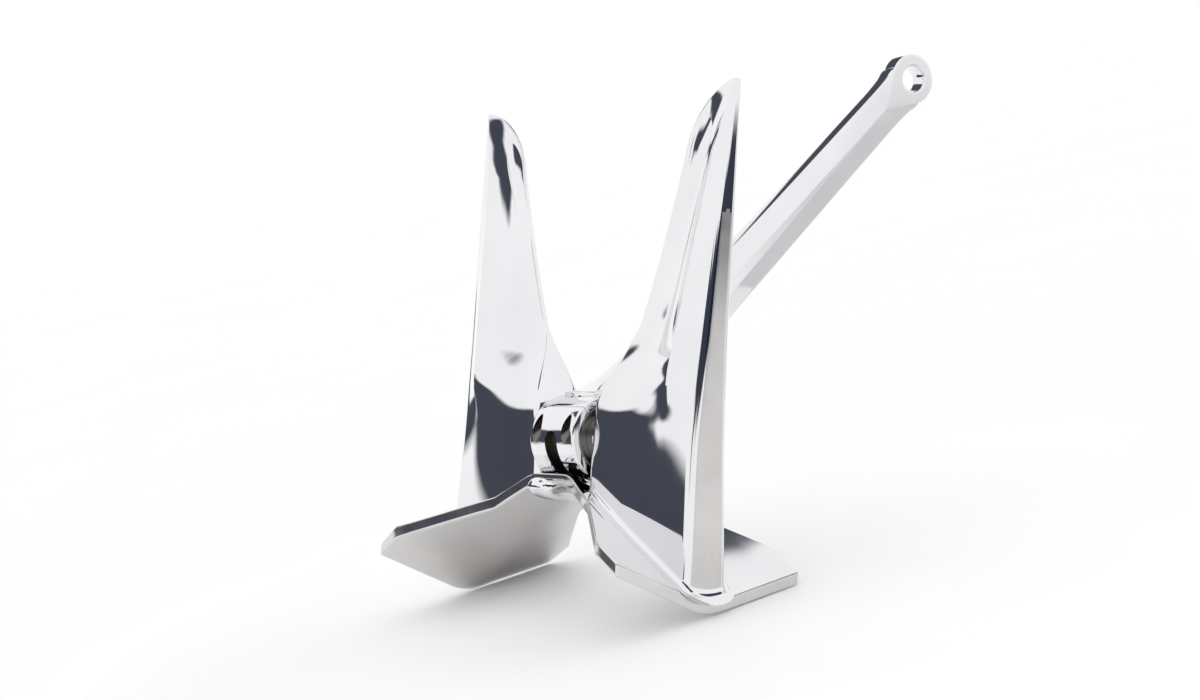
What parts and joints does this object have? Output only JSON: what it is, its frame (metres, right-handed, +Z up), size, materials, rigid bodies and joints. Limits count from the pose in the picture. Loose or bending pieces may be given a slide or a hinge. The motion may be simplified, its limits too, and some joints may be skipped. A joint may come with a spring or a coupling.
{
  "type": "boat anchor",
  "caption": "Polished stainless tilting-fluke boat anchor; the shank swings either way on the crown pin between hollow-ground flukes with tripping palms.",
  "frame": {"origin": "centre of the footprint on the ground, with the head sitting on its two rear palm wings and the shank leaning back on its stop", "axes": "+X along the crown pin to the right, +Y the way the shank leans, +Z up"},
  "size_m": [0.414, 0.59, 0.4329],
  "materials": {
    "polished_fluke": "mirror-polished stainless steel, satin outer edge",
    "polished_palm": "mirror-polished stainless steel above, satin below",
    "polished_crown": "polished stainless steel",
    "polished_shank": "mirror-polished stainless steel",
    "polished_cap": "polished stainless steel",
    "ground_pin": "ground stainless steel",
    "bronze_bearing": "machined bronze",
    "fastener_steel": "machined stainless steel"
  },
  "bodies": {
    "head": {"fluke_left": "polished_fluke", "fluke_right": "polished_fluke", "palm_left": "polished_palm", "palm_right": "polished_palm", "boss_left": "polished_crown", "boss_right": "polished_crown", "crown_bridge": "polished_crown", "stop_lug": "polished_crown", "crown_pin": "ground_pin", "pin_keeper_left": "fastener_steel", "pin_keeper_right": "fastener_steel"},
    "shank_arm": {"shank": "polished_shank", "hub_saddle": "polished_cap", "hub_cap": "polished_cap", "shell_upper": "bronze_bearing", "shell_lower": "bronze_bearing", "thrust_washer_left": "fastener_steel", "thrust_washer_right": "fastener_steel", "cap_screw_front_left": "fastener_steel", "cap_screw_front_right": "fastener_steel", "cap_screw_rear_left": "fastener_steel", "cap_screw_rear_right": "fastener_steel", "cap_dowel_front": "fastener_steel", "cap_dowel_rear": "fastener_steel"}
  },
  "joints": [
    {"name": "shank_pivot", "type": "hinge", "parent": "head", "child": "shank_arm", "pos_m": [0, -0.16923, 0.14113], "axis": [1, 0, 0], "range_deg": [0, 86]}
  ]
}
